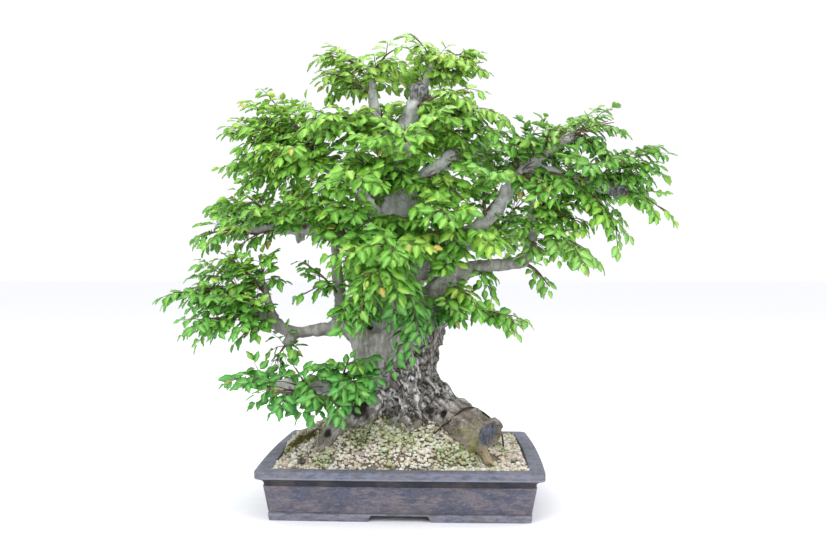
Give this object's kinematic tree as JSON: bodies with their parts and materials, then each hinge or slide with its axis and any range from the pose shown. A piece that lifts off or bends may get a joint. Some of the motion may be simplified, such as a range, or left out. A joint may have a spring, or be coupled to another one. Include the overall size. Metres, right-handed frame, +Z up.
{
  "type": "oriental hornbeam bonsai",
  "caption": "Old oriental hornbeam bonsai with a flared, fissured trunk and layered leafy branches, in a low rectangular clay pot of gravel soil.",
  "frame": {"origin": "on the surface it stands on, under the middle of the whole tree's box", "axes": "+Z up, +X to the tree's right seen from its front, +Y to its back"},
  "size_m": [0.94, 0.5996, 0.8585],
  "materials": {
    "clay": "unglazed, brushed, matt",
    "mesh_plastic": "matt",
    "gravel": "dry, porous grains",
    "bark": "grey bark, fissured at the base",
    "tie_wire": "dull dark brown",
    "foliage": "semi-matt green leaves"
  },
  "bodies": {
    "root": {"pot": "clay", "drain_screen_left": "mesh_plastic", "drain_screen_right": "mesh_plastic", "soil": "gravel", "trunk": "bark", "tie_wire": "tie_wire", "spray_apex_1": "foliage", "spray_apex_2": "foliage", "spray_apex_3": "foliage", "spray_apex_4": "foliage", "spray_apex_5": "foliage", "spray_back_1": "foliage", "spray_back_2": "foliage", "spray_back_3": "foliage", "spray_back_4": "foliage", "spray_back_5": "foliage", "spray_back_6": "foliage", "spray_back_7": "foliage", "spray_crown_left_1": "foliage", "spray_crown_left_2": "foliage", "spray_front_1": "foliage", "spray_front_2": "foliage", "spray_front_3": "foliage", "spray_front_4": "foliage", "spray_front_5": "foliage", "spray_front_6": "foliage", "spray_front_7": "foliage", "spray_front_8": "foliage", "spray_front_9": "foliage", "spray_hang_front_1": "foliage", "spray_hang_left_1": "foliage", "spray_low_left_1": "foliage", "spray_low_left_2": "foliage", "spray_low_left_3": "foliage", "spray_low_left_4": "foliage", "spray_low_left_5": "foliage", "spray_low_right_1": "foliage", "spray_mid_left_1": "foliage", "spray_mid_left_2": "foliage", "spray_mid_left_3": "foliage", "spray_mid_right_1": "foliage", "spray_mid_right_2": "foliage", "spray_mid_right_3": "foliage", "spray_skirt_left_1": "foliage", "spray_skirt_left_2": "foliage", "spray_skirt_left_3": "foliage", "spray_skirt_left_4": "foliage", "spray_upper_left_1": "foliage", "spray_upper_left_2": "foliage", "spray_upper_left_3": "foliage", "spray_upper_left_4": "foliage", "spray_upper_left_5": "foliage", "spray_upper_right_1": "foliage", "spray_upper_right_2": "foliage", "spray_upper_right_3": "foliage", "spray_upper_right_4": "foliage", "spray_upper_right_5": "foliage", "spray_upper_right_6": "foliage"}
  },
  "joints": []
}
